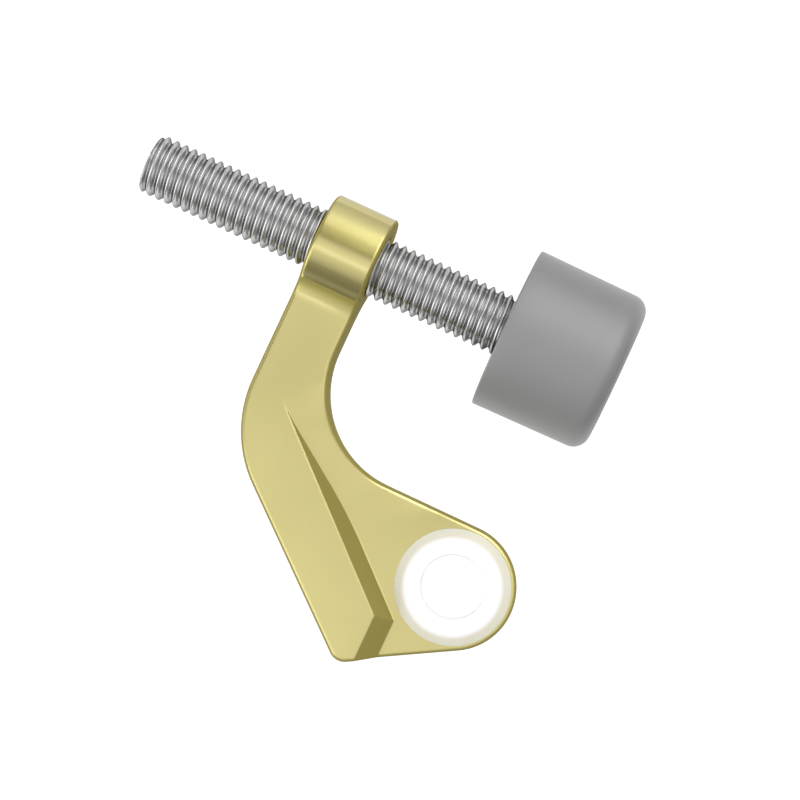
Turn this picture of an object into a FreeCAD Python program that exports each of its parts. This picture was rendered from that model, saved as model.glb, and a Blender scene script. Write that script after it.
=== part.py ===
import FreeCAD, Part
import math
import os
import Sketcher
from FreeCAD import Placement, Rotation, Vector

# Hinge pin door stop. A forged brass arm hangs on a door's hinge pin by a bushed eye,
# and carries a threaded steel rod with a rubber bumper in the barrel at its other end.
# Millimetres. The origin is on the pin's axis at the underside of the eye, +Z runs up
# the pin, +X runs along the rod towards the bumper, and +Y from the pin to the rod.

doc = FreeCAD.newDocument("HingePinDoorStop")

# Driving sizes: name, value, meaning
driving_sizes = [
    ("pin_hole_dia", 8.2, "hole for the hinge pin, through the bush"),
    ("bush_body_dia", 10.4, "part of the bush that stands in the eye"),
    ("bush_flange_dia", 15.0, "flange of the bush, on top of the eye"),
    ("bush_crown_dia", 12.4, "flat top of the flange, inside its bevel"),
    ("bush_flange_thick", 1.0, "height of the flange over the eye"),
    ("bush_flange_rim", 0.3, "upright rim below the flange's bevel"),
    ("bush_mouth", 0.2, "chamfer at both ends of the pin hole"),
    ("bush_fit", 0.02, "gap round the bush in the eye"),
    ("eye_dia", 16.3, "outside of the eye"),
    ("eye_thick", 3.0, "thickness of the eye and the web behind it"),
    ("bar_thick", 6.0, "thickness of the bar and the heel"),
    ("bar_width", 8.3, "width of the bar, and length of the barrel"),
    ("bar_offset", 30.2, "from the pin's axis back to the middle of the bar"),
    ("pin_to_rod", 33.1, "from the pin's axis across to the rod's axis"),
    ("barrel_dia", 13.0, "outside of the barrel round the rod"),
    ("throat_radius", 12.9, "inside curve from the bar to the eye"),
    ("knee_radius", 16.0, "outside curve from the bar to the leg"),
    ("leg_angle", 40.0, "slope of the leg's outer face to the rod's axis"),
    ("leg_offset", 17.5, "from the pin's axis out to the leg's outer face"),
    ("foot_angle", 30.0, "slope of the foot, from the heel up to the eye"),
    ("heel_radius", 2.0, "round at the heel"),
    ("heel_edge_angle", 41.8, "slope of the heel block's inner edge"),
    ("heel_edge_offset", 10.4, "from the pin's axis out to that edge"),
    ("heel_end", 7.45, "from the pin's axis back to the heel block's end"),
    ("heel_side_draft", 30.0, "lean of the heel block's side wall"),
    ("heel_end_draft", 39.0, "lean of the heel block's end wall"),
    ("ramp_start", 30.6, "behind the pin, where the top begins to fall to the eye"),
    ("ramp_end", 9.2, "behind the pin, where the top is level again"),
    ("ramp_crest_radius", 20.0, "round at the start of the ramp"),
    ("ramp_foot_radius", 45.0, "round at the end of the ramp"),
    ("barrel_root", 4.6, "hollow curve from the bar up to the barrel"),
    ("barrel_chamfer", 0.25, "chamfer round the barrel's ends"),
    ("arm_edge", 0.5, "round along the arm's upper edges"),
    ("arm_under_edge", 0.4, "chamfer along the arm's lower edges"),
    ("rod_dia", 8.0, "outside of the rod, M8"),
    ("rod_length", 60.0, "whole length of the rod"),
    ("rod_end_chamfer", 0.4, "chamfer at the rod's ends"),
    ("rod_clearance", 0.05, "running gap round the rod, in barrel and bumper"),
    ("rod_grip", 9.4, "length of the rod inside the bumper"),
    ("bumper_back", 7.8, "from the pin's axis back to the bumper's rear face"),
    ("bumper_length", 15.45, "whole length of the bumper"),
    ("bumper_back_dia", 21.4, "bumper at its rear face"),
    ("bumper_taper", 0.8, "lean of the bumper's flank towards the front, in degrees"),
    ("bumper_round", 2.2, "round at the bumper's front edge"),
    ("bumper_seat_gap", 0.1, "gap between the rod's end and the floor of its seat"),
]

dims = doc.addObject("Spreadsheet::Sheet", "dims")
for row, (alias, size, meaning) in enumerate(driving_sizes, start=1):
    dims.set("A%d" % row, meaning)
    dims.set("B%d" % row, str(size))
    dims.setAlias("B%d" % row, alias)
doc.recompute()


def size_of(alias):
    return float(dims.get(alias))


def origin_plane(body, role):
    for feature in body.Origin.OriginFeatures:
        if feature.Role == role:
            return feature
    raise ValueError("no origin plane " + role)


def new_body(label):
    body = doc.addObject("PartDesign::Body", label)
    body.Label = label
    return body


def new_sketch(body, role, name):
    sketch = body.newObject("Sketcher::SketchObject", name)
    sketch.AttachmentSupport = [(origin_plane(body, role), "")]
    sketch.MapMode = "FlatFace"
    return sketch


# A sketch that stands upright and is turned about the pin's axis by the heel's slope.
def turn_to_heel(sketch):
    upright = Rotation(Vector(0, 1, 0), -size_of("heel_edge_angle"))
    sketch.AttachmentOffset = Placement(Vector(), upright)
    sketch.setExpression("AttachmentOffset.Rotation.Angle", "-dims.heel_edge_angle")


def line(start, end):
    return Part.LineSegment(Vector(start[0], start[1], 0), Vector(end[0], end[1], 0))


# An arc runs anticlockwise between its two angles, in degrees.
def arc(centre, radius, start_angle, end_angle):
    circle = Part.Circle(Vector(centre[0], centre[1], 0), Vector(0, 0, 1), radius)
    return Part.ArcOfCircle(circle, math.radians(start_angle), math.radians(end_angle))


# Each piece of a closed loop is its curve and whether the loop runs backwards along it.
# The joints that are named in smooth are tangent, and the others only meet.
def draw_loop(sketch, pieces, smooth=()):
    first = sketch.GeometryCount
    for curve, backwards in pieces:
        sketch.addGeometry(curve, False)
    count = len(pieces)
    for joint in range(count):
        following = (joint + 1) % count
        leaves = 1 if pieces[joint][1] else 2
        enters = 2 if pieces[following][1] else 1
        kind = "Tangent" if joint in smooth else "Coincident"
        sketch.addConstraint(
            Sketcher.Constraint(kind, first + joint, leaves, first + following, enters))
    return first


def polygon(points):
    following = points[1:] + points[:1]
    return [(line(start, end), False) for start, end in zip(points, following)]


# A dimension that follows the sheet. Angles are written in degrees there.
def tie(sketch, expression, kind, *places):
    degrees = kind == "Angle"
    start = float(sketch.evalExpression(expression))
    value = math.radians(start) if degrees else start
    index = sketch.addConstraint(Sketcher.Constraint(kind, *places, value))
    unit = " * 1 deg" if degrees else ""
    sketch.setExpression("Constraints[%d]" % index, "(" + expression + ")" + unit)


def fix(sketch, kind, *places):
    sketch.addConstraint(Sketcher.Constraint(kind, *places))


# A pad or pocket, by the same depth to both sides of its sketch.
def extrude(body, kind, name, sketch, depth):
    before = body.Shape.Volume if body.Tip else 0.0
    feature = body.newObject(kind, name)
    feature.Profile = sketch
    feature.Length = float(sketch.evalExpression(depth))
    feature.setExpression("Length", depth)
    feature.Midplane = True
    sketch.Visibility = False
    doc.recompute()
    if abs(body.Shape.Volume - before) < hair:
        raise RuntimeError("changed nothing: " + name)
    return feature


def dress_edges(body, kind, name, edge_names, alias):
    base = body.Tip
    size = "Radius" if kind == "PartDesign::Fillet" else "Size"
    feature = body.newObject(kind, name)
    feature.Base = (base, edge_names)
    setattr(feature, size, size_of(alias))
    feature.setExpression(size, "dims." + alias)
    doc.recompute()
    if feature.Shape.isNull() or abs(feature.Shape.Volume - base.Shape.Volume) < hair:
        raise RuntimeError("dressed nothing: " + name)
    return feature


origin_point = (-1, 1)
across_axis = -1
# Sizes and volumes below this count as nothing.
hair = 0.001

# The blank is cut with this much to spare on every side of the arm.
reach = "(dims.bar_offset + dims.pin_to_rod)"
rod_height = "dims.bar_thick / 2"


# Side view of the arm, along the heel block's inner edge: level along the bar, then a
# ramp with rounded ends down to the level of the eye.
def draw_side_profile(body):
    sketch = new_sketch(body, "XZ_Plane", "side_profile")
    turn_to_heel(sketch)
    far = float(sketch.evalExpression(reach))
    top = size_of("bar_thick")
    low = size_of("eye_thick")
    crest_at = -size_of("ramp_start")
    foot_at = -size_of("ramp_end")
    crest_radius = size_of("ramp_crest_radius")
    foot_radius = size_of("ramp_foot_radius")
    # The slope whose two rounds fill the length between the ramp's start and end.
    run = foot_at - crest_at
    radii = crest_radius + foot_radius
    drop = top - low
    slope = 2 * math.atan2(run - math.sqrt(run ** 2 - drop * (2 * radii - drop)), 2 * radii - drop)
    lean = math.degrees(slope)
    crest_end = (crest_at + crest_radius * math.sin(slope),
                 top - crest_radius * (1 - math.cos(slope)))
    foot_start = (foot_at - foot_radius * math.sin(slope),
                  low + foot_radius * (1 - math.cos(slope)))
    pieces = [
        (line((-far, 0), (far, 0)), False),
        (line((far, 0), (far, low)), False),
        (line((far, low), (foot_at, low)), False),
        (arc((foot_at, low + foot_radius), foot_radius, 270 - lean, 270), True),
        (line(foot_start, crest_end), False),
        (arc((crest_at, top - crest_radius), crest_radius, 90 - lean, 90), False),
        (line((crest_at, top), (-far, top)), False),
        (line((-far, top), (-far, 0)), False),
    ]
    base, right, level, foot, ramp, crest, bar, left = range(len(pieces))
    draw_loop(sketch, pieces, smooth=(level, foot, ramp, crest))
    fix(sketch, "Horizontal", base)
    fix(sketch, "Horizontal", bar)
    fix(sketch, "Horizontal", level)
    fix(sketch, "Vertical", right)
    fix(sketch, "Vertical", left)
    fix(sketch, "PointOnObject", base, 1, across_axis)
    tie(sketch, reach, "DistanceX", base, 1, *origin_point)
    tie(sketch, reach, "DistanceX", *origin_point, base, 2)
    tie(sketch, "dims.bar_thick", "DistanceY", left, 2, left, 1)
    tie(sketch, "dims.eye_thick", "DistanceY", right, 1, right, 2)
    tie(sketch, "dims.ramp_start", "DistanceX", bar, 1, *origin_point)
    tie(sketch, "dims.ramp_end", "DistanceX", level, 2, *origin_point)
    tie(sketch, "dims.ramp_crest_radius", "Radius", crest)
    tie(sketch, "dims.ramp_foot_radius", "Radius", foot)
    return sketch


# Cross-section of the heel block: full height, with a leaning side wall.
def draw_heel_section(body):
    sketch = new_sketch(body, "YZ_Plane", "heel_section")
    turn_to_heel(sketch)
    far = float(sketch.evalExpression(reach))
    top = size_of("bar_thick")
    edge = -size_of("heel_edge_offset")
    spread = top * math.tan(math.radians(size_of("heel_side_draft")))
    points = [(-far, 0), (edge + spread, 0), (edge, top), (-far, top)]
    base, wall, crown, back = range(len(points))
    draw_loop(sketch, polygon(points))
    fix(sketch, "Horizontal", base)
    fix(sketch, "Horizontal", crown)
    fix(sketch, "Vertical", back)
    fix(sketch, "PointOnObject", base, 1, across_axis)
    tie(sketch, reach, "DistanceX", base, 1, *origin_point)
    tie(sketch, "dims.bar_thick", "DistanceY", back, 2, back, 1)
    tie(sketch, "dims.heel_edge_offset", "DistanceX", crown, 1, *origin_point)
    tie(sketch, "90 + dims.heel_side_draft", "Angle", wall)
    return sketch


# What is cleared above the eye, up to the leaning end wall of the heel block.
def draw_end_clearance(body):
    sketch = new_sketch(body, "XZ_Plane", "end_clearance")
    far = float(sketch.evalExpression(reach))
    top = size_of("bar_thick")
    low = size_of("eye_thick")
    edge = -size_of("heel_end")
    spread = (top - low) * math.tan(math.radians(size_of("heel_end_draft")))
    points = [(edge + spread, low), (far, low), (far, 2 * top), (edge, 2 * top), (edge, top)]
    floor, right, over, left, wall = range(len(points))
    draw_loop(sketch, polygon(points))
    fix(sketch, "Horizontal", floor)
    fix(sketch, "Horizontal", over)
    fix(sketch, "Vertical", right)
    fix(sketch, "Vertical", left)
    tie(sketch, "dims.eye_thick", "DistanceY", *origin_point, floor, 1)
    tie(sketch, "2 * dims.bar_thick", "DistanceY", *origin_point, over, 1)
    tie(sketch, "dims.bar_thick", "DistanceY", *origin_point, wall, 1)
    tie(sketch, reach, "DistanceX", *origin_point, floor, 2)
    tie(sketch, "dims.heel_end", "DistanceX", wall, 1, *origin_point)
    tie(sketch, "dims.heel_end_draft - 90", "Angle", wall)
    return sketch


# Plan of the arm inside a frame: the stock between the two is cut away. The plan goes
# down the bar's outer face, round the knee, down the leg, round the heel, along the
# foot, round the eye and back through the throat to the bar.
def draw_plan(body):
    sketch = new_sketch(body, "XY_Plane", "plan")
    far = 2 * float(sketch.evalExpression(reach))
    outer = -size_of("bar_offset") - size_of("bar_width") / 2
    inner = -size_of("bar_offset") + size_of("bar_width") / 2
    top = size_of("pin_to_rod")
    eye = size_of("eye_dia") / 2
    throat = size_of("throat_radius")
    knee = size_of("knee_radius")
    heel = size_of("heel_radius")
    leg = math.radians(size_of("leg_angle"))
    foot = math.radians(size_of("foot_angle"))
    leg_offset = size_of("leg_offset")
    # Unit vectors out of the leg's face and out of the foot.
    leg_out = Vector(-math.sin(leg), -math.cos(leg), 0)
    foot_out = Vector(math.sin(foot), -math.cos(foot), 0)
    knee_x = outer + knee
    knee_y = (leg_offset - knee + knee_x * math.sin(leg)) / -math.cos(leg)
    knee_centre = Vector(knee_x, knee_y, 0)
    # The heel's centre lies a heel radius inside both the leg's face and the foot.
    turn = leg_out.x * foot_out.y - leg_out.y * foot_out.x
    leg_depth = leg_offset - heel
    foot_depth = eye - heel
    heel_centre = Vector((leg_depth * foot_out.y - foot_depth * leg_out.y) / turn,
                         (foot_depth * leg_out.x - leg_depth * foot_out.x) / turn, 0)
    throat_centre = Vector(inner + throat, eye + throat, 0)
    knee_end = knee_centre + leg_out * knee
    heel_start = heel_centre + leg_out * heel
    heel_end = heel_centre + foot_out * heel
    foot_end = foot_out * eye
    leg_slope = size_of("leg_angle")
    foot_slope = size_of("foot_angle")
    pieces = [
        (line((outer, top), (outer, knee_y)), False),
        (arc(knee_centre, knee, 180, 270 - leg_slope), False),
        (line(knee_end, heel_start), False),
        (arc(heel_centre, heel, 270 - leg_slope, 270 + foot_slope), False),
        (line(heel_end, foot_end), False),
        (arc((0, 0), eye, foot_slope - 90, 90), False),
        (line((0, eye), (throat_centre.x, eye)), False),
        (arc(throat_centre, throat, 180, 270), True),
        (line((inner, throat_centre.y), (inner, top)), False),
        (line((inner, top), (outer, top)), False),
    ]
    outer_side, knee_arc, leg_side, heel_arc, foot_side, eye_arc, neck, throat_arc, inner_side, cap = range(10)
    draw_loop(sketch, pieces, smooth=range(inner_side))
    fix(sketch, "Vertical", outer_side)
    fix(sketch, "Vertical", inner_side)
    fix(sketch, "Horizontal", neck)
    fix(sketch, "Horizontal", cap)
    fix(sketch, "Coincident", eye_arc, 3, *origin_point)
    tie(sketch, "dims.bar_offset + dims.bar_width / 2", "DistanceX", outer_side, 1, *origin_point)
    tie(sketch, "dims.bar_offset - dims.bar_width / 2", "DistanceX", inner_side, 1, *origin_point)
    tie(sketch, "dims.pin_to_rod", "DistanceY", *origin_point, cap, 1)
    tie(sketch, "dims.eye_dia / 2", "Radius", eye_arc)
    tie(sketch, "dims.throat_radius", "Radius", throat_arc)
    tie(sketch, "dims.knee_radius", "Radius", knee_arc)
    tie(sketch, "dims.heel_radius", "Radius", heel_arc)
    tie(sketch, "-dims.leg_angle", "Angle", leg_side)
    tie(sketch, "dims.foot_angle", "Angle", foot_side)
    tie(sketch, "dims.leg_offset", "Distance", *origin_point, leg_side)
    corners = [(-far, -far), (far, -far), (far, far), (-far, far)]
    first = draw_loop(sketch, polygon(corners))
    lower, right, upper, left = range(first, first + 4)
    for side in (lower, upper):
        fix(sketch, "Horizontal", side)
    for side in (right, left):
        fix(sketch, "Vertical", side)
    fix(sketch, "Symmetric", lower, 1, upper, 1, *origin_point)
    tie(sketch, "2 * " + reach, "DistanceX", *origin_point, lower, 2)
    tie(sketch, "2 * " + reach, "DistanceY", lower, 1, *origin_point)
    return sketch


# A circle across the rod, in the middle of the barrel.
def draw_rod_circle(body, name, diameter):
    sketch = new_sketch(body, "YZ_Plane", name)
    sketch.AttachmentOffset = Placement(Vector(0, 0, -size_of("bar_offset")), Rotation())
    sketch.setExpression("AttachmentOffset.Base.z", "-dims.bar_offset")
    centre = Vector(size_of("pin_to_rod"), size_of("bar_thick") / 2, 0)
    radius = float(sketch.evalExpression(diameter)) / 2
    circle = sketch.addGeometry(Part.Circle(centre, Vector(0, 0, 1), radius), False)
    tie(sketch, diameter, "Diameter", circle)
    tie(sketch, "dims.pin_to_rod", "DistanceX", *origin_point, circle, 3)
    tie(sketch, rod_height, "DistanceY", *origin_point, circle, 3)
    return sketch


def draw_eye_hole(body):
    sketch = new_sketch(body, "XY_Plane", "eye_circle")
    diameter = "dims.bush_body_dia + 2 * dims.bush_fit"
    radius = float(sketch.evalExpression(diameter)) / 2
    circle = sketch.addGeometry(Part.Circle(Vector(), Vector(0, 0, 1), radius), False)
    fix(sketch, "Coincident", circle, 3, *origin_point)
    tie(sketch, diameter, "Diameter", circle)
    return sketch


# The way the middle of a face looks, upwards or downwards: 1 is straight up.
def height_of_normal(face):
    low_u, high_u, low_v, high_v = face.ParameterRange
    return face.normalAt((low_u + high_u) / 2, (low_v + high_v) / 2).z


# The edges round the plan on the upper or the lower side, but for the end in the barrel.
def plan_edges(feature, side):
    names = []
    for number, edge in enumerate(feature.Shape.Edges, start=1):
        heights = [height_of_normal(face) for face in feature.Shape.ancestorsOfType(edge, Part.Face)]
        upright = [abs(height) < hair for height in heights]
        facing = [height * side > hair for height in heights]
        at_cap = edge.BoundBox.YMax > size_of("pin_to_rod") - hair
        if any(upright) and any(facing) and not at_cap:
            names.append("Edge%d" % number)
    return names


# Section of the bar's end: hollow curves run from its top and its underside up to the
# barrel, which they meet tangentially, and radii run on from there to the rod's axis.
def draw_barrel_root(body):
    sketch = new_sketch(body, "YZ_Plane", "root_section")
    sketch.AttachmentOffset = Placement(Vector(0, 0, -size_of("bar_offset")), Rotation())
    sketch.setExpression("AttachmentOffset.Base.z", "-dims.bar_offset")
    axis = Vector(size_of("pin_to_rod"), size_of("bar_thick") / 2, 0)
    barrel = size_of("barrel_dia") / 2
    root = size_of("barrel_root")
    half = size_of("bar_thick") / 2
    # Each hollow's centre is a root radius off the bar's face and off the barrel.
    across = math.sqrt((barrel + root) ** 2 - (half + root) ** 2)
    lean = math.degrees(math.asin(across / (barrel + root)))
    upper = axis + Vector(-across, half + root, 0)
    lower = axis + Vector(-across, -half - root, 0)
    touch = barrel / (barrel + root)
    upper_touch = axis + (upper - axis) * touch
    lower_touch = axis + (lower - axis) * touch
    pieces = [
        (line((upper.x, 0), (upper.x, 2 * half)), False),
        (arc(upper, root, 270, 270 + lean), False),
        (line(upper_touch, axis), False),
        (line(axis, lower_touch), False),
        (arc(lower, root, 90 - lean, 90), False),
    ]
    back, upper_arc, upper_radius, lower_radius, lower_arc = range(len(pieces))
    draw_loop(sketch, pieces)
    fix(sketch, "Vertical", back)
    for hollow, radius in ((upper_arc, upper_radius), (lower_arc, lower_radius)):
        fix(sketch, "Perpendicular", hollow, radius)
        tie(sketch, "dims.barrel_root", "Radius", hollow)
        tie(sketch, "dims.barrel_dia / 2", "Distance", radius, 1, radius, 2)
    fix(sketch, "Vertical", upper_arc, 3, upper_arc, 1)
    fix(sketch, "PointOnObject", back, 1, across_axis)
    tie(sketch, "dims.bar_thick", "DistanceY", back, 1, back, 2)
    tie(sketch, "dims.pin_to_rod", "DistanceX", *origin_point, upper_radius, 2)
    tie(sketch, rod_height, "DistanceY", *origin_point, upper_radius, 2)
    return sketch


# Half the section of the barrel: a tube round the rod's axis with chamfered ends.
def draw_barrel_section(body):
    sketch = new_sketch(body, "XZ_Plane", "barrel_section")
    sketch.AttachmentOffset = Placement(Vector(0, 0, -size_of("pin_to_rod")), Rotation())
    sketch.setExpression("AttachmentOffset.Base.z", "-dims.pin_to_rod")
    axis_up = float(sketch.evalExpression(rod_height))
    back = -size_of("bar_offset") - size_of("bar_width") / 2
    front = -size_of("bar_offset") + size_of("bar_width") / 2
    radius = size_of("barrel_dia") / 2
    chamfer = size_of("barrel_chamfer")
    points = [(back, axis_up), (front, axis_up), (front, axis_up + radius - chamfer),
              (front - chamfer, axis_up + radius), (back + chamfer, axis_up + radius),
              (back, axis_up + radius - chamfer)]
    axis, front_face, front_bevel, outside, back_bevel, back_face = range(len(points))
    draw_loop(sketch, polygon(points))
    fix(sketch, "Horizontal", axis)
    fix(sketch, "Horizontal", outside)
    fix(sketch, "Vertical", front_face)
    fix(sketch, "Vertical", back_face)
    tie(sketch, "dims.bar_offset + dims.bar_width / 2", "DistanceX", axis, 1, *origin_point)
    tie(sketch, "dims.bar_offset - dims.bar_width / 2", "DistanceX", axis, 2, *origin_point)
    tie(sketch, rod_height, "DistanceY", *origin_point, axis, 1)
    tie(sketch, "dims.barrel_dia / 2", "DistanceY", axis, 1, outside, 1)
    tie(sketch, "dims.barrel_chamfer", "DistanceX", outside, 1, front_face, 2)
    tie(sketch, "dims.barrel_chamfer", "DistanceY", front_face, 2, outside, 1)
    tie(sketch, "dims.barrel_chamfer", "DistanceX", back_face, 1, outside, 2)
    tie(sketch, "dims.barrel_chamfer", "DistanceY", back_face, 1, outside, 2)
    # The sketch's edges are counted from one.
    return sketch, "Edge%d" % (axis + 1)


# The arm is one forging: bar, heel block, thinner eye and web, and the barrel across it.
def build_stop_arm():
    body = new_body("stop_arm")
    whole = "2 * " + reach
    extrude(body, "PartDesign::Pad", "blank", draw_side_profile(body), whole)
    extrude(body, "PartDesign::Pad", "heel_block", draw_heel_section(body), whole)
    extrude(body, "PartDesign::Pocket", "end_cut", draw_end_clearance(body), whole)
    extrude(body, "PartDesign::Pocket", "plan_cut", draw_plan(body), whole)
    extrude(body, "PartDesign::Pad", "barrel_root", draw_barrel_root(body), "dims.bar_width")
    dress_edges(body, "PartDesign::Fillet", "upper_round", plan_edges(body.Tip, 1), "arm_edge")
    dress_edges(body, "PartDesign::Chamfer", "lower_chamfer", plan_edges(body.Tip, -1), "arm_under_edge")
    section, rod_line = draw_barrel_section(body)
    turn_piece(body, "barrel", section, rod_line)
    bore = draw_rod_circle(body, "rod_bore_circle", "dims.rod_dia + 2 * dims.rod_clearance")
    extrude(body, "PartDesign::Pocket", "rod_bore", bore, whole)
    extrude(body, "PartDesign::Pocket", "eye_hole", draw_eye_hole(body), whole)
    return body


# A piece turned about an axis of its sketch, or about one of the sketch's own edges.
def turn_piece(body, name, sketch, axis_name):
    feature = body.newObject("PartDesign::Revolution", name)
    feature.Profile = sketch
    feature.ReferenceAxis = (sketch, [axis_name])
    feature.Angle = 360
    sketch.Visibility = False
    doc.recompute()
    return feature


# The white bush: a sleeve in the eye with a bevelled flange on top of it.
def build_pin_bush():
    body = new_body("pin_bush")
    sketch = new_sketch(body, "XZ_Plane", "bush_profile")
    bore = size_of("pin_hole_dia") / 2
    sleeve = size_of("bush_body_dia") / 2
    flange = size_of("bush_flange_dia") / 2
    crown = size_of("bush_crown_dia") / 2
    seat = size_of("eye_thick")
    rim = seat + size_of("bush_flange_rim")
    top = seat + size_of("bush_flange_thick")
    mouth = size_of("bush_mouth")
    points = [(bore + mouth, 0), (sleeve, 0), (sleeve, seat), (flange, seat), (flange, rim),
              (crown, top), (bore + mouth, top), (bore, top - mouth), (bore, mouth)]
    (base, outside, shoulder, rim_side, bevel, crown_face, upper_mouth, wall, lower_mouth) = range(9)
    draw_loop(sketch, polygon(points))
    for flat in (base, shoulder, crown_face):
        fix(sketch, "Horizontal", flat)
    for side in (outside, rim_side, wall):
        fix(sketch, "Vertical", side)
    fix(sketch, "PointOnObject", base, 1, across_axis)
    tie(sketch, "dims.pin_hole_dia / 2", "DistanceX", *origin_point, wall, 1)
    tie(sketch, "dims.bush_body_dia / 2", "DistanceX", *origin_point, outside, 1)
    tie(sketch, "dims.bush_flange_dia / 2", "DistanceX", *origin_point, rim_side, 1)
    tie(sketch, "dims.bush_crown_dia / 2", "DistanceX", *origin_point, bevel, 2)
    tie(sketch, "dims.eye_thick", "DistanceY", *origin_point, shoulder, 1)
    tie(sketch, "dims.bush_flange_rim", "DistanceY", rim_side, 1, rim_side, 2)
    tie(sketch, "dims.bush_flange_thick", "DistanceY", shoulder, 1, crown_face, 1)
    tie(sketch, "dims.bush_mouth", "DistanceX", wall, 1, crown_face, 2)
    tie(sketch, "dims.bush_mouth", "DistanceY", wall, 1, crown_face, 2)
    tie(sketch, "dims.bush_mouth", "DistanceX", wall, 2, base, 1)
    tie(sketch, "dims.bush_mouth", "DistanceY", base, 1, wall, 2)
    turn_piece(body, "bush_turning", sketch, "V_Axis")
    return body


# The rod and the bumper share one axis. Their own origin is on it, at the bumper's rear
# face, and their +X runs forward into the bumper.
def place_on_rod_axis(body):
    body.Placement = Placement(Vector(), Rotation())
    body.setExpression("Placement.Base.x", "-dims.bumper_back")
    body.setExpression("Placement.Base.y", "dims.pin_to_rod")
    body.setExpression("Placement.Base.z", rod_height)


def build_threaded_rod():
    body = new_body("threaded_rod")
    place_on_rod_axis(body)
    sketch = new_sketch(body, "XZ_Plane", "rod_profile")
    radius = size_of("rod_dia") / 2
    chamfer = size_of("rod_end_chamfer")
    front = size_of("rod_grip")
    back = front - size_of("rod_length")
    points = [(back, 0), (front, 0), (front, radius - chamfer), (front - chamfer, radius),
              (back + chamfer, radius), (back, radius - chamfer)]
    axis, front_face, front_bevel, outside, back_bevel, back_face = range(len(points))
    draw_loop(sketch, polygon(points))
    fix(sketch, "Horizontal", outside)
    fix(sketch, "Vertical", front_face)
    fix(sketch, "Vertical", back_face)
    fix(sketch, "PointOnObject", axis, 1, across_axis)
    fix(sketch, "PointOnObject", axis, 2, across_axis)
    tie(sketch, "dims.rod_grip", "DistanceX", *origin_point, axis, 2)
    tie(sketch, "dims.rod_length", "DistanceX", axis, 1, axis, 2)
    tie(sketch, "dims.rod_dia / 2", "DistanceY", *origin_point, outside, 1)
    tie(sketch, "dims.rod_end_chamfer", "DistanceX", outside, 1, front_face, 2)
    tie(sketch, "dims.rod_end_chamfer", "DistanceY", front_face, 2, outside, 1)
    tie(sketch, "dims.rod_end_chamfer", "DistanceX", back_face, 1, outside, 2)
    tie(sketch, "dims.rod_end_chamfer", "DistanceY", back_face, 1, outside, 2)
    turn_piece(body, "rod_turning", sketch, "H_Axis")
    return body


# The rubber bumper: a solid slightly tapered plug, round in front, with a blind seat for
# the rod's end.
def build_bumper():
    body = new_body("bumper")
    place_on_rod_axis(body)
    sketch = new_sketch(body, "XZ_Plane", "bumper_profile")
    back_radius = size_of("bumper_back_dia") / 2
    length = size_of("bumper_length")
    seat = size_of("rod_dia") / 2 + size_of("rod_clearance")
    floor = size_of("rod_grip") + size_of("bumper_seat_gap")
    round_radius = size_of("bumper_round")
    # The flank's lean, and the centre of the round that meets both flank and front face.
    lean = math.radians(size_of("bumper_taper"))
    round_x = length - round_radius
    flank_at_centre = back_radius - round_x * math.tan(lean)
    centre = (round_x, flank_at_centre - round_radius / math.cos(lean))
    flank_end = (centre[0] + round_radius * math.sin(lean),
                 centre[1] + round_radius * math.cos(lean))
    pieces = [
        (line((floor, 0), (length, 0)), False),
        (line((length, 0), (length, centre[1])), False),
        (arc(centre, round_radius, 0, 90 - math.degrees(lean)), False),
        (line(flank_end, (0, back_radius)), False),
        (line((0, back_radius), (0, seat)), False),
        (line((0, seat), (floor, seat)), False),
        (line((floor, seat), (floor, 0)), False),
    ]
    axis, front_face, front_round, flank, back_face, seat_wall, seat_floor = range(len(pieces))
    draw_loop(sketch, pieces, smooth=(front_face, front_round))
    for side in (front_face, back_face, seat_floor):
        fix(sketch, "Vertical", side)
    fix(sketch, "Horizontal", seat_wall)
    fix(sketch, "PointOnObject", axis, 1, across_axis)
    fix(sketch, "PointOnObject", axis, 2, across_axis)
    fix(sketch, "Vertical", *origin_point, back_face, 1)
    tie(sketch, "dims.bumper_length", "DistanceX", *origin_point, axis, 2)
    tie(sketch, "dims.rod_grip + dims.bumper_seat_gap", "DistanceX", *origin_point, axis, 1)
    tie(sketch, "dims.bumper_back_dia / 2", "DistanceY", *origin_point, back_face, 1)
    tie(sketch, "180 - dims.bumper_taper", "Angle", flank)
    tie(sketch, "dims.bumper_round", "Radius", front_round)
    tie(sketch, "dims.rod_dia / 2 + dims.rod_clearance", "DistanceY", *origin_point, seat_wall, 1)
    turn_piece(body, "bumper_turning", sketch, "H_Axis")
    return body


pieces = [build_stop_arm(), build_pin_bush(), build_threaded_rod(), build_bumper()]
doc.recompute()
for thing in doc.Objects:
    if "Invalid" in thing.State or "Error" in thing.State:
        raise RuntimeError("failed: " + thing.Name)
for piece in pieces:
    if piece.Shape.isNull() or not piece.Shape.isValid() or len(piece.Shape.Solids) != 1:
        raise RuntimeError("not one sound solid: " + piece.Label)

os.makedirs("parts", exist_ok=True)
for piece in pieces:
    piece.Shape.exportStep("parts/" + piece.Label + ".step")
    print(piece.Label, "volume", round(piece.Shape.Volume, 1), "mm3")
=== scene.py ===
import math
import bmesh
import bpy
import numpy as np
from mathutils import Matrix, Vector


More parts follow.
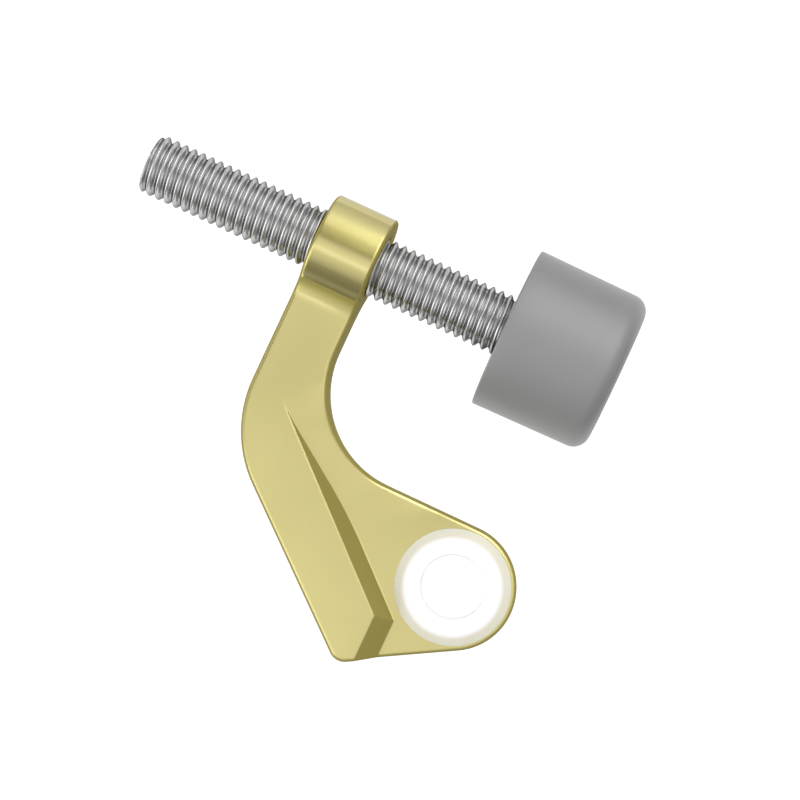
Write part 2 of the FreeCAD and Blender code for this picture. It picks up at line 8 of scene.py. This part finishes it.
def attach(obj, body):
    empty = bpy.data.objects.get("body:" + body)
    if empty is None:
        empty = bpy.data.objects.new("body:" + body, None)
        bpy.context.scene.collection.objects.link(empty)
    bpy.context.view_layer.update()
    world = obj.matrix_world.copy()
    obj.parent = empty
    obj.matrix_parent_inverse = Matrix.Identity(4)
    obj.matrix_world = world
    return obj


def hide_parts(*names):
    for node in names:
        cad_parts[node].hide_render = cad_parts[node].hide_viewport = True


# Hinge pin door stop: a forged brass arm with a nylon bush in its eye, a zinc plated
# threaded rod through the barrel, and a grey rubber bumper on the rod's front end.
# The frame is the CAD's: metres, origin on the hinge pin's axis under the eye, +Z up
# the pin, +X along the rod to the bumper, +Y from the pin to the rod.

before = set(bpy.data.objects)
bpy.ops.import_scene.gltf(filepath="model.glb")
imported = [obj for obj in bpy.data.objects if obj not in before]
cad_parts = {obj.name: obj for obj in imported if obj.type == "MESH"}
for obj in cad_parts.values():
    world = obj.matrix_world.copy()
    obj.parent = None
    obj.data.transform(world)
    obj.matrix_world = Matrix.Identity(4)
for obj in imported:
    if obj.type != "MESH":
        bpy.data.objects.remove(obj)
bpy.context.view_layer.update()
scene = bpy.context.scene
mm = 0.001
rodAxis = np.array([0.0, 33.1, 3.0]) * mm  # a point on the rod's axis
print("frame loaded:", ", ".join(sorted(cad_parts)))


def toLinear(hexColour):  # sRGB hex to a linear RGBA colour
    part = np.array([int(hexColour[i:i + 2], 16) for i in (1, 3, 5)]) / 255
    linear = np.where(part <= 0.04045, part / 12.92, ((part + 0.055) / 1.055) ** 2.4)
    return (*linear.tolist(), 1.0)


def addNode(tree, kind, settings=None, links=None):
    # A key that is one of the node's sockets, by name or number, sets or links that
    # socket, and any other key is a property of the node.
    node = tree.nodes.new("ShaderNode" + kind)
    for key, value in (settings or {}).items():
        if isinstance(key, int) or key in node.inputs:
            node.inputs[key].default_value = value
        else:
            setattr(node, key, value)
    for key, source in (links or {}).items():
        tree.links.new(source, node.inputs[key])
    return node


def addMath(tree, operation, first, second):
    # The first is a socket, and the second a socket or a number.
    if isinstance(second, bpy.types.NodeSocket):
        node = addNode(tree, "Math", {"operation": operation}, {0: first, 1: second})
    else:
        node = addNode(tree, "Math", {"operation": operation, 1: second}, {0: first})
    return node.outputs["Value"]


def addLength(tree, vector, weights):
    # Length of a vector whose three parts are first multiplied by the weights.
    if isinstance(weights, bpy.types.NodeSocket):
        settings, links = {}, {0: vector, 1: weights}
    else:
        settings, links = {1: weights}, {0: vector}
    parts = addNode(tree, "VectorMath", {"operation": "MULTIPLY", **settings}, links)
    length = addNode(tree, "VectorMath", {"operation": "LENGTH"}, {0: parts.outputs["Vector"]})
    return length.outputs["Value"]


def addRange(tree, value, settings):
    return addNode(tree, "MapRange", settings, {"Value": value}).outputs["Result"]


def addMix(tree, share, first, second):
    # Colour from the first to the second as share goes from 0 to 1. Each is a hex
    # colour or a socket. Sockets 6 and 7 are a Mix node's colours, and 2 their result.
    settings, links = {"data_type": "RGBA"}, {0: share}
    for socket, colour in ((6, first), (7, second)):
        if isinstance(colour, str):
            settings[socket] = toLinear(colour)
        else:
            links[socket] = colour
    return addNode(tree, "Mix", settings, links).outputs[2]


def addNoise(tree, place, size, detail):
    # Noise in the object's own space, its spots about size mm wide.
    return addNode(tree, "TexNoise", {"Scale": 1 / (size * mm), "Detail": detail},
                   {"Vector": place}).outputs["Fac"]


def addGloss(tree, cloud, values):
    # Roughness that the clouds vary by the gloss spread, up and down.
    return addRange(tree, cloud, {"To Min": values["roughness"] - values["glossSpread"],
                                  "To Max": values["roughness"] + values["glossSpread"]})


def addGrain(tree, shader, place, values, normal=None):
    # The finest relief of a surface, on its own normal or on the one given.
    links = {"Height": addNoise(tree, place, values["grainSize"], values["grainDetail"])}
    if normal is not None:
        links["Normal"] = normal
    bump = addNode(tree, "Bump", {"Distance": values["grainDepth"] * mm}, links)
    tree.links.new(bump.outputs["Normal"], shader.inputs["Normal"])


def distanceFromRod(tree, place):
    fromAxis = addNode(tree, "VectorMath", {"operation": "SUBTRACT", 1: rodAxis.tolist()},
                       {0: place})
    return addLength(tree, fromAxis.outputs["Vector"], (0, 1, 1))


def newMaterial(name, settings):
    # A material with a Principled shader, and object coordinates in metres for its patterns.
    material = bpy.data.materials.new(name)
    material.use_nodes = True
    tree = material.node_tree
    tree.nodes.clear()
    shader = addNode(tree, "BsdfPrincipled", settings)
    addNode(tree, "OutputMaterial", None, {"Surface": shader.outputs["BSDF"]})
    place = addNode(tree, "TexCoord").outputs["Object"]
    return material, tree, shader, place


def finishPiece(name, mesh, material, body, node, sharpAngle):
    # The mesh smoothed, with edges sharp from sharpAngle degrees up, as one piece of
    # the body in place of the CAD node.
    mesh.shade_smooth()
    mesh.set_sharp_from_angle(angle=math.radians(sharpAngle))
    mesh.materials.clear()
    mesh.materials.append(material)
    piece = bpy.data.objects.new(name, mesh)
    scene.collection.objects.link(piece)
    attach(piece, body)
    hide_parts(node)
    return piece


def makePiece(name, points, faces, material, body, node, sharpAngle):
    # A closed mesh from arrays, its clamped points merged and its faces turned outwards.
    mesh = bpy.data.meshes.new(name)
    mesh.from_pydata(points.tolist(), [], [list(face) for face in faces])
    samePoint = 1e-8  # m
    work = bmesh.new()
    work.from_mesh(mesh)
    bmesh.ops.remove_doubles(work, verts=work.verts, dist=samePoint)
    bmesh.ops.recalc_face_normals(work, faces=work.faces)
    work.to_mesh(mesh)
    work.free()
    return finishPiece(name, mesh, material, body, node, sharpAngle)


def copyOfNode(name, node, material, body, sharpAngle):
    # The CAD node's own surface with its loose triangles joined, so that it shades smoothly.
    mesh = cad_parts[node].data.copy()
    mesh.name = name
    samePoint = 1e-7  # m
    work = bmesh.new()
    work.from_mesh(mesh)
    bmesh.ops.remove_doubles(work, verts=work.verts, dist=samePoint)
    work.to_mesh(mesh)
    work.free()
    if "custom_normal" in mesh.attributes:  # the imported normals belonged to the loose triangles
        mesh.attributes.remove(mesh.attributes["custom_normal"])
    return finishPiece(name, mesh, material, body, node, sharpAngle)


def turned(profile, segments):
    # Points at (x, r cos a, r sin a) round the rod's axis for each (x, r) of the profile
    # and each angle a. A profile that starts and ends on the axis gives a closed solid.
    angle = np.linspace(0, 2 * math.pi, segments, endpoint=False)
    x, r = (np.asarray(profile) * mm).T[:, :, None]
    grid = np.stack([x + 0 * angle, r * np.cos(angle), r * np.sin(angle)], axis=-1)
    start = np.arange(len(profile) - 1)[:, None] * segments
    column = np.arange(segments)
    first = (start + column).ravel()
    beside = (start + (column + 1) % segments).ravel()
    faces = np.stack([first, beside, beside + segments, first + segments], axis=1)
    return grid.reshape(-1, 3) + rodAxis, faces.tolist()


def arcPoints(centre, radius, start, end, count):
    # Points on a circle: centre plus radius times (cos, sin) of evenly spaced degrees.
    angle = np.radians(np.linspace(start, end, count))
    return np.stack([centre[0] + radius * np.cos(angle),
                     centre[1] + radius * np.sin(angle)], axis=1)


def inside(first, last, count):  # evenly spaced values between two ends, without the ends
    return np.linspace(first, last, count + 2)[1:-1]


# Camera
cameraValues = {
    "place": (1.0, 19.0, 280.0),   # mm, straight above the pin's side of the rod
    "aim": (-16.25, 18.85, 3.0),   # mm
    "roll": 24.94,                 # degrees that the rod falls from the picture's level
    "lens": 97.34,                 # mm
    "sensor": 36.0,                # mm
    "clip": (0.01, 20.0),          # m
}


def makeCamera(values):
    data = bpy.data.cameras.new("photoCamera")
    data.sensor_width = values["sensor"]
    data.lens = values["lens"]
    data.clip_start, data.clip_end = values["clip"]
    camera = bpy.data.objects.new("photoCamera", data)
    place, aim = Vector(values["place"]) * mm, Vector(values["aim"]) * mm
    back = (place - aim).normalized()
    roll = math.radians(values["roll"])
    level = Vector((math.cos(roll), math.sin(roll), 0))
    right = (level - back * level.dot(back)).normalized()
    up = back.cross(right)
    turn = Matrix((right, up, back)).transposed().to_4x4()
    camera.matrix_world = Matrix.Translation(place) @ turn
    scene.collection.objects.link(camera)
    scene.camera = camera


makeCamera(cameraValues)
print("camera placed")


# Brass arm
brassValues = {
    "bright": "#cfc379",
    "dull": "#c5b96f",
    "flank": "#a09552",         # upright faces: a darker colour as painted shade, on a finish still dull from the forge
    "reach": (0.84, 0.99),      # how flat a face lies, from dull with painted shade to fully polished and unshaded
    "barrelRadius": 6.6,        # mm
    "edge": "#9c9468",          # tint of its reflection at a glancing angle
    "flankRoughness": 0.75,
    "flankMetal": 0.2,
    "roughness": 0.22,
    "glossSpread": 0.03,
    "lacquerRoughness": 0.10,
    "lacquerIor": 1.8,          # a hard baked lacquer, whiter in its highlights
    "cloudSize": 9.0,           # mm, slow change of tone over the polished faces
    "cloudDetail": 2.0,
    "grainSize": 0.35,          # mm, fine orange peel that the polishing left
    "grainDetail": 1.0,
    "grainDepth": 0.004,        # mm
    "edgeRound": 0.45,          # mm, how far the polishing wheel softened each edge
    "edgeSamples": 8,
    "sharpAngle": 24,           # degrees
}


def makeBrass(values):
    # Lacquered forged brass, polished by wheel: pale greenish gold, a soft reflection
    # of the room under a thin clear skin, with slow clouds in tone and gloss. Its upright
    # faces and edge rounds stay dull, and their darker colour is painted shade.
    material, tree, shader, place = newMaterial("lacqueredForgedBrass", {
        "Coat Roughness": values["lacquerRoughness"],
        "Coat IOR": values["lacquerIor"],
        "Specular Tint": toLinear(values["edge"]),
    })
    # The wheel reached what lies flat, and the barrel all round but not at its ends: there
    # the normal counts with its Y and Z, and elsewhere with its Z alone.
    onBarrel = addMath(tree, "LESS_THAN", distanceFromRod(tree, place),
                       values["barrelRadius"] * mm)
    weights = addNode(tree, "CombineXYZ", {"Z": 1.0}, {"Y": onBarrel}).outputs["Vector"]
    normal = addNode(tree, "TexCoord").outputs["Normal"]
    low, high = values["reach"]
    polished = addRange(tree, addLength(tree, normal, weights),
                        {"From Min": low, "From Max": high})
    cloud = addNoise(tree, place, values["cloudSize"], values["cloudDetail"])
    tone = addMix(tree, cloud, values["bright"], values["dull"])
    # Upright faces take the flank colour, a darker tone painted on as shade, and flat faces keep
    # the polished tone.
    toneWithPaintedShade = addMix(tree, polished, values["flank"], tone)
    # Sockets 2 and 3 are a Mix node's numbers, and 0 their result.
    rough = addNode(tree, "Mix", {"data_type": "FLOAT", 2: values["flankRoughness"]},
                    {0: polished, 3: addGloss(tree, cloud, values)})
    tree.links.new(toneWithPaintedShade, shader.inputs["Base Color"])
    tree.links.new(rough.outputs[0], shader.inputs["Roughness"])
    tree.links.new(addRange(tree, polished, {"To Min": values["flankMetal"]}),
                   shader.inputs["Metallic"])
    tree.links.new(polished, shader.inputs["Coat Weight"])
    softEdge = addNode(tree, "Bevel", {"Radius": values["edgeRound"] * mm,
                                       "samples": values["edgeSamples"]})
    addGrain(tree, shader, place, values, softEdge.outputs["Normal"])
    return material


brass = makeBrass(brassValues)
arm = copyOfNode("forged_arm", "stop_arm", brass, "arm", brassValues["sharpAngle"])
print("arm done")


# Nylon bush
nylonValues = {
    "white": "#ffffff",
    "rim": "#e8e3d1",           # the thin bevelled rim lets the brass show through
    "crown": (6.1, 6.6),        # mm from the pin's axis, where white turns to the rim's tone
    "roughness": 0.38,
    "ior": 1.53,
    "scatter": 0.15,            # share of the light that goes through the plastic
    "depth": 1.2,               # mm that it travels there
    "grainSize": 0.25,          # mm, fine matt texture of the mould
    "grainDetail": 2.0,
    "grainDepth": 0.003,        # mm
    "sharpAngle": 30,           # degrees
}


def makeNylon(values):
    # Moulded natural nylon: white, waxy and a little translucent at its thin rim.
    material, tree, shader, place = newMaterial("mouldedWhiteNylon", {
        "Roughness": values["roughness"],
        "IOR": values["ior"],
        "Subsurface Weight": values["scatter"],
        "Subsurface Scale": values["depth"] * mm,
    })
    inner, outer = values["crown"]
    thin = addRange(tree, addLength(tree, place, (1, 1, 0)),
                    {"From Min": inner * mm, "From Max": outer * mm})
    tree.links.new(addMix(tree, thin, values["white"], values["rim"]),
                   shader.inputs["Base Color"])
    addGrain(tree, shader, place, values)
    return material


nylon = makeNylon(nylonValues)
bush = copyOfNode("nylon_bush", "pin_bush", nylon, "arm", nylonValues["sharpAngle"])
print("bush done")


# Threaded rod
rodValues = {
    "start": -58.4,             # mm along X
    "length": 60.0,             # mm
    "pitch": 1.25,              # mm
    "crest": 4.0,               # mm from the axis
    "depth": 0.60,              # mm, of the thread, whose crest and root are rolled round
    "endRadius": 3.6,           # mm, where the chamfer meets the end face
    "phase": 0.60,              # turns
    "segments": 96,             # points round the axis
    "steps": 14,                # rows of points over one pitch
    "sharpAngle": 40,           # degrees
}

steelValues = {
    # the root's tones are darker than the crest's as painted shade in the thread's hollow
    "root": "#c0c0c0",
    "rootCloud": "#b2b2b2",
    "crest": "#d0d0d0",         # rolled bright
    "rise": (3.50, 3.90),       # mm from the axis, from the root's painted shade to the bright crest
    "edge": "#8a8a8a",          # tint of its reflection at a glancing angle
    "roughness": 0.24,
    "glossSpread": 0.05,
    "cloudSize": 2.5,           # mm
    "cloudDetail": 3.0,
    "grainSize": 0.12,          # mm, fine rolling marks
    "grainDetail": 1.0,
    "grainDepth": 0.003,        # mm
}


def makeSteel(values):
    # Bright zinc plated steel with a rolled thread: neutral grey, small hard highlights
    # on the crests and flanks, and a darker tone painted in the root as shade.
    material, tree, shader, place = newMaterial("zincPlatedSteel", {
        "Metallic": 1.0,
        "Specular Tint": toLinear(values["edge"]),
    })
    cloud = addNoise(tree, place, values["cloudSize"], values["cloudDetail"])
    # The root's two tones, mixed by the cloud, are darker than the crest as painted shade.
    dull = addMix(tree, cloud, values["root"], values["rootCloud"])
    low, high = values["rise"]
    clearOfRootShade = addRange(tree, distanceFromRod(tree, place),
                      {"From Min": low * mm, "From Max": high * mm})
    tree.links.new(addMix(tree, clearOfRootShade, dull, values["crest"]), shader.inputs["Base Color"])
    tree.links.new(addGloss(tree, cloud, values), shader.inputs["Roughness"])
    addGrain(tree, shader, place, values)
    return material


def makeRod(values, material):
    # A right-hand helix. Row j and angle a give x = start + pitch (j / steps + a / turn),
    # so that rows follow the thread, and the radius is crest - depth sin(pi j / steps)^2.
    # Where x would pass an end it stays on the end, and the radius is never more than
    # the chamfer's.
    start, length, pitch = values["start"], values["length"], values["pitch"]
    steps, segments = values["steps"], values["segments"]
    share = np.arange(steps) / steps
    radius = values["crest"] - values["depth"] * np.sin(math.pi * share) ** 2
    rows = np.arange(-steps - 1, int(length / pitch * steps) + steps + 2)
    turn = np.arange(segments) / segments
    pitches = rows // steps + share[rows % steps] + values["phase"] % 1 - 1
    x = np.clip((pitches[:, None] + turn) * pitch, 0, length)
    chamfer = values["endRadius"] + np.minimum(x, length - x)
    r = np.minimum(radius[rows % steps][:, None], chamfer)
    angle = 2 * math.pi * turn
    grid = np.stack([start + x, r * np.cos(angle), r * np.sin(angle)], axis=-1) * mm
    ends = np.array([[start, 0, 0], [start + length, 0, 0]]) * mm
    points = np.concatenate([grid.reshape(-1, 3), ends]) + rodAxis
    count = len(rows)
    index = np.arange(count * segments).reshape(count, segments)
    inner = np.stack([index[:-1, :-1], index[:-1, 1:], index[1:, 1:], index[1:, :-1]], axis=-1)
    # The last column meets the first one a whole turn, steps rows, further on.
    seam = np.stack([index[:-1 - steps, -1], index[steps:-1, 0], index[steps + 1:, 0],
                     index[1:-steps, -1]], axis=-1)
    faces = inner.reshape(-1, 4).tolist() + seam.tolist()
    for row, centre in ((index[0], count * segments), (index[-1], count * segments + 1)):
        faces += [(a, b, centre) for a, b in zip(row.tolist(), np.roll(row, -1).tolist())]
    return makePiece("rolled_thread_rod", points, faces, material, "rod_body", "threaded_rod",
                     values["sharpAngle"])


steel = makeSteel(steelValues)
rod = makeRod(rodValues, steel)
print("rod done:", len(rod.data.polygons), "faces")


# Rubber bumper
bumperValues = {
    "back": -7.8,               # mm along X
    "length": 15.45,            # mm
    "backRadius": 10.7,         # mm
    "taper": 0.8,               # degrees
    "frontRound": 2.2,          # mm
    "backRound": 0.25,          # mm
    "seatRadius": 4.05,         # mm
    "seatDepth": 9.5,           # mm
    "seatRound": 0.2,           # mm
    "segments": 160,            # points round the axis
    "roundPoints": (4, 5, 13),  # on the seat's, the back's and the front's round
    "facePoints": (4, 6, 5),    # inside the rear face, the flank and the front face
    "sharpAngle": 45,           # degrees
}

rubberValues = {
    "grey": "#6c6c6c",
    "pale": "#737373",
    "roughness": 0.65,
    "glossSpread": 0.04,
    "ior": 1.6,
    "specular": 1.0,
    "skin": 1.0,                # the smooth skin that a polished mould leaves
    "skinRoughness": 0.50,
    "skinIor": 1.8,
    "cloudSize": 5.0,           # mm
    "cloudDetail": 3.0,
    "grainSize": 0.22,          # mm, matt texture of the mould
    "grainDetail": 2.0,
    "grainDepth": 0.004,        # mm
}


def makeRubber(values):
    # Moulded grey rubber: mid grey, satin, with a broad soft highlight and a fine
    # matt grain that breaks it up.
    material, tree, shader, place = newMaterial("mouldedGreyRubber", {
        "IOR": values["ior"],
        "Specular IOR Level": values["specular"],
        "Coat Weight": values["skin"],
        "Coat Roughness": values["skinRoughness"],
        "Coat IOR": values["skinIor"],
    })
    cloud = addNoise(tree, place, values["cloudSize"], values["cloudDetail"])
    tree.links.new(addMix(tree, cloud, values["grey"], values["pale"]),
                   shader.inputs["Base Color"])
    tree.links.new(addGloss(tree, cloud, values), shader.inputs["Roughness"])
    addGrain(tree, shader, place, values)
    return material


def makeBumper(values, material):
    # A turned solid: seat floor, seat wall, rear face, leaning flank, front round, front face.
    back, front = values["back"], values["back"] + values["length"]
    lean = math.radians(values["taper"])
    outer, edge, small = values["frontRound"], values["backRound"], values["seatRound"]
    rear, seat, floor = values["backRadius"], values["seatRadius"], back + values["seatDepth"]
    seatPoints, backPoints, frontPoints = values["roundPoints"]
    rearCount, flankCount, faceCount = values["facePoints"]
    roundX = front - outer
    roundY = rear - (roundX - back) * math.tan(lean) - outer / math.cos(lean)
    rearY = inside(seat + small, rear - edge, rearCount)
    flankX = inside(back + edge, roundX + outer * math.sin(lean), flankCount)
    faceY = inside(roundY, 0, faceCount)
    profile = np.concatenate([
        [(floor, 0), (floor, seat), (back + small, seat)],
        arcPoints((back + small, seat + small), small, 270, 180, seatPoints),
        np.stack([np.full(rearCount, back), rearY], axis=1),
        arcPoints((back + edge, rear - edge), edge, 180, 90, backPoints),
        np.stack([flankX, rear - (flankX - back) * math.tan(lean)], axis=1),
        arcPoints((roundX, roundY), outer, 90 - values["taper"], 0, frontPoints),
        np.stack([np.full(faceCount, front), faceY], axis=1),
        [(front, 0)],
    ])
    points, faces = turned(profile, values["segments"])
    return makePiece("rubber_bumper", points, faces, material, "bumper_body", "bumper",
                     values["sharpAngle"])


rubber = makeRubber(rubberValues)
bumper = makeBumper(bumperValues, rubber)
print("bumper done:", len(bumper.data.polygons), "faces")


# Floor
floorValues = {
    "drop": 42.0,               # mm below the eye
    "centre": (-22.0, 16.0),    # mm
    "size": 260.0,              # mm
    "white": "#bcbcbc",
    "lift": 0.62,               # the background's own light, that takes it to white
    "roughness": 0.9,
    "specular": 0.1,
}


def makeFloor(values):
    # Pale matt card. The camera, metal and glass see it white, and it keeps the shadow.
    material, tree, shader = newMaterial("paleFloor", {
        "Base Color": toLinear(values["white"]),
        "Roughness": values["roughness"],
        "Specular IOR Level": values["specular"],
    })[:3]
    path = addNode(tree, "LightPath").outputs
    seen = addMath(tree, "MAXIMUM", path["Is Camera Ray"], path["Is Glossy Ray"])
    seen = addMath(tree, "MAXIMUM", seen, path["Is Transmission Ray"])
    tree.links.new(addMath(tree, "MULTIPLY", seen, values["lift"]),
                   shader.inputs["Emission Strength"])
    half = values["size"] / 2
    corners = np.array([(-half, -half), (half, -half), (half, half), (-half, half)])
    points = np.column_stack([corners + values["centre"], np.full(4, -values["drop"])]) * mm
    mesh = bpy.data.meshes.new("floor")
    mesh.from_pydata(points.tolist(), [], [(0, 1, 2, 3)])
    mesh.materials.append(material)
    floor = bpy.data.objects.new("floor", mesh)
    scene.collection.objects.link(floor)


makeFloor(floorValues)
print("floor done")


# Room
roomValues = {
    # The room's brightness by degrees round the rod's axis, from straight up towards the
    # hinge pin's side: where one ramp's stops lie, and how bright each is.
    "ramps": {
        "rear": [(-180, 1.2), (-110, 0.7), (-75, 0.35), (10, 0.4), (45, 1.8), (65, 2.8),
                 (90, 2.6), (115, 1.2), (180, 1.2)],
        "side": [(-180, 1.1), (-110, 0.6), (-75, 0.35), (-40, 0.5), (-15, 0.95), (15, 0.95),
                 (45, 0.5), (75, 0.35), (110, 0.6), (180, 1.1)],
        "slope": [(-180, 1.1), (-110, 0.6), (-75, 0.5), (-50, 0.8), (-25, 1.15), (25, 1.2),
                  (50, 0.7), (75, 0.35), (110, 0.6), (180, 1.1)],
        "thread": [(-180, 1.0), (-110, 0.6), (-88, 0.9), (-62, 1.0), (-46, 0.6), (-28, 0.2),
                   (2, 0.15), (14, 0.8), (26, 2.4), (42, 3.5), (64, 3.5), (84, 2.0),
                   (105, 0.8), (180, 1.0)],
        "barrel": [(-180, 1.2), (-110, 0.8), (-85, 1.0), (-62, 1.15), (-46, 0.85),
                   (-33, 0.15), (-25, 0.0), (-12, 0.0), (-6, 0.5), (1, 1.02), (10, 1.15),
                   (18, 1.65), (29, 0.9), (45, 0.65), (58, 0.25), (78, 0.2), (92, 0.55),
                   (112, 1.0), (180, 1.2)],
        "bumper": [(-180, 0.9), (-100, 0.35), (-84, 0.9), (-64, 4.2), (-38, 6.0), (-20, 4.6),
                   (-7, 1.0), (12, 1.0), (30, 0.85), (58, 0.35), (80, 0.3), (110, 0.4),
                   (180, 0.9)],
        "far": [(-180, 0.8), (-110, 0.5), (-80, 0.7), (-40, 1.0), (-15, 0.7), (15, 0.4),
                (45, 0.2), (75, 0.3), (110, 0.5), (180, 0.8)],
        "front": [(-180, 0.4), (-110, 0.3), (-80, 0.7), (-50, 0.9), (-20, 0.7), (10, 0.6),
                  (40, 0.5), (70, 0.5), (100, 0.4), (180, 0.4)],
    },
    # Which ramp holds at each share of a direction that runs along the rod, from -1 at
    # its free end to 1 at the bumper's. Between two places their ramps mix.
    "places": [(-0.90, "rear"), (-0.63, "side"), (-0.50, "thread"), (-0.38, "thread"),
               (-0.27, "slope"), (-0.14, "barrel"), (-0.055, "barrel"), (-0.005, "bumper"),
               (0.10, "bumper"), (0.32, "slope"), (0.62, "far"), (0.85, "front")],
}


def addRamp(tree, share, levels, top):
    # A grey ramp over a whole turn, its levels given as shares of the top one.
    ramp = addNode(tree, "ValToRGB", None, {0: share})
    ramp.color_ramp.interpolation = "EASE"
    stops = ramp.color_ramp.elements
    stops[0].position, stops[1].position = 0, 1
    for angle, _ in levels[1:-1]:
        stops.new((angle + 180) / 360)
    for stop, (_, level) in zip(stops, levels):
        stop.color = (level / top, level / top, level / top, 1)
    return ramp.outputs["Color"]


def makeRoom(values):
    # A pale room as a world: its brightness follows the angle round the rod's axis,
    # atan2(-y, z) of the direction, by a ramp for each place along the rod.
    world = bpy.data.worlds.new("studioRoom")
    world.use_nodes = True
    tree = world.node_tree
    tree.nodes.clear()
    direction = addNode(tree, "SeparateXYZ", None,
                        {0: addNode(tree, "TexCoord").outputs["Generated"]}).outputs
    away = addMath(tree, "MULTIPLY", direction["Y"], -1.0)
    angle = addMath(tree, "ARCTAN2", away, direction["Z"])
    share = addRange(tree, angle, {"From Min": -math.pi, "From Max": math.pi})
    top = max(level for levels in values["ramps"].values() for _, level in levels)
    ramps = {name: addRamp(tree, share, levels, top) for name, levels in values["ramps"].items()}
    here, name = values["places"][0]
    room = ramps[name]
    for there, name in values["places"][1:]:
        weight = addRange(tree, direction["X"], {"From Min": here, "From Max": there})
        room = addMix(tree, weight, room, ramps[name])
        here = there
    # Behind the object the camera sees plain white, a strength of 1.
    toCamera = addNode(tree, "LightPath").outputs["Is Camera Ray"]
    white = addNode(tree, "Mix", {"data_type": "RGBA", 7: (1 / top, 1 / top, 1 / top, 1)},
                    {0: toCamera, 6: room})
    light = addNode(tree, "Background", {"Strength": top}, {"Color": white.outputs[2]})
    addNode(tree, "OutputWorld", None, {"Surface": light.outputs["Background"]})
    scene.world = world


makeRoom(roomValues)
scene.view_settings.view_transform = "Standard"
print("room done")
